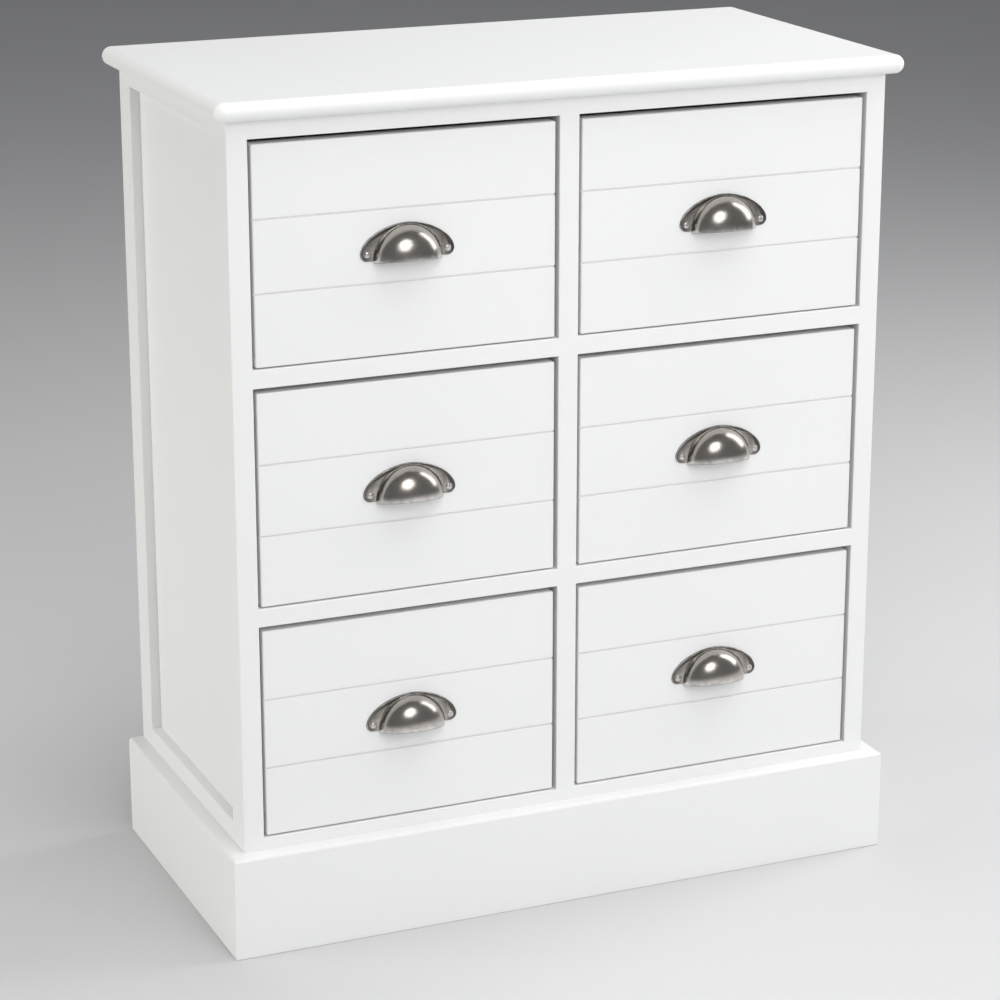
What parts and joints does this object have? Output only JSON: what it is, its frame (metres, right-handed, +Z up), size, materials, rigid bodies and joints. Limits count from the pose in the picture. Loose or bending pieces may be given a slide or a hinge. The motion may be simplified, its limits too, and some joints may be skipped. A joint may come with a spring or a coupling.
{
  "type": "chest of drawers",
  "caption": "Narrow white lacquered chest with two columns of planked drawers, nickel cup pulls, framed sides, a bull-nosed top and a plinth.",
  "frame": {"origin": "on the floor at the middle of the chest, half-way between its back edge and the front of its cup pulls", "axes": "+X to the right seen from the front, +Y towards the wall behind it, +Z up; the drawers open along -Y"},
  "size_m": [0.628, 0.3225, 0.7373],
  "materials": {
    "white_lacquer": "satin white lacquer sprayed over smooth board",
    "drawer_wood": "bare pale solid wood, lightly sanded",
    "drawer_ply": "bare thin plywood",
    "hardboard": "brown hardboard",
    "satin_nickel": "satin nickel plate"
  },
  "bodies": {
    "case": {"top_board": "white_lacquer", "left_front_stile": "white_lacquer", "left_back_stile": "white_lacquer", "left_top_rail": "white_lacquer", "left_bottom_rail": "white_lacquer", "left_panel": "white_lacquer", "right_front_stile": "white_lacquer", "right_back_stile": "white_lacquer", "right_top_rail": "white_lacquer", "right_bottom_rail": "white_lacquer", "right_panel": "white_lacquer", "sub_top": "white_lacquer", "floor_board": "white_lacquer", "centre_partition": "white_lacquer", "middle_left_shelf": "white_lacquer", "middle_right_shelf": "white_lacquer", "upper_left_shelf": "white_lacquer", "upper_right_shelf": "white_lacquer", "back_panel": "hardboard", "plinth_front": "white_lacquer", "plinth_left": "white_lacquer", "plinth_right": "white_lacquer", "plinth_back": "white_lacquer"},
    "lower_left_drawer": {"lower_left_front": "white_lacquer", "lower_left_left_side": "drawer_wood", "lower_left_right_side": "drawer_wood", "lower_left_back": "drawer_wood", "lower_left_bottom": "drawer_ply", "lower_left_pull": "satin_nickel"},
    "lower_right_drawer": {"lower_right_front": "white_lacquer", "lower_right_left_side": "drawer_wood", "lower_right_right_side": "drawer_wood", "lower_right_back": "drawer_wood", "lower_right_bottom": "drawer_ply", "lower_right_pull": "satin_nickel"},
    "middle_left_drawer": {"middle_left_front": "white_lacquer", "middle_left_left_side": "drawer_wood", "middle_left_right_side": "drawer_wood", "middle_left_back": "drawer_wood", "middle_left_bottom": "drawer_ply", "middle_left_pull": "satin_nickel"},
    "middle_right_drawer": {"middle_right_front": "white_lacquer", "middle_right_left_side": "drawer_wood", "middle_right_right_side": "drawer_wood", "middle_right_back": "drawer_wood", "middle_right_bottom": "drawer_ply", "middle_right_pull": "satin_nickel"},
    "upper_left_drawer": {"upper_left_front": "white_lacquer", "upper_left_left_side": "drawer_wood", "upper_left_right_side": "drawer_wood", "upper_left_back": "drawer_wood", "upper_left_bottom": "drawer_ply", "upper_left_pull": "satin_nickel"},
    "upper_right_drawer": {"upper_right_front": "white_lacquer", "upper_right_left_side": "drawer_wood", "upper_right_right_side": "drawer_wood", "upper_right_back": "drawer_wood", "upper_right_bottom": "drawer_ply", "upper_right_pull": "satin_nickel"}
  },
  "joints": [
    {"name": "lower_left_slide", "type": "slide", "parent": "case", "child": "lower_left_drawer", "axis": [0, -1, 0], "range_m": [0, 0.2]},
    {"name": "lower_right_slide", "type": "slide", "parent": "case", "child": "lower_right_drawer", "axis": [0, -1, 0], "range_m": [0, 0.2]},
    {"name": "middle_left_slide", "type": "slide", "parent": "case", "child": "middle_left_drawer", "axis": [0, -1, 0], "range_m": [0, 0.2]},
    {"name": "middle_right_slide", "type": "slide", "parent": "case", "child": "middle_right_drawer", "axis": [0, -1, 0], "range_m": [0, 0.2]},
    {"name": "upper_left_slide", "type": "slide", "parent": "case", "child": "upper_left_drawer", "axis": [0, -1, 0], "range_m": [0, 0.2]},
    {"name": "upper_right_slide", "type": "slide", "parent": "case", "child": "upper_right_drawer", "axis": [0, -1, 0], "range_m": [0, 0.2]}
  ]
}
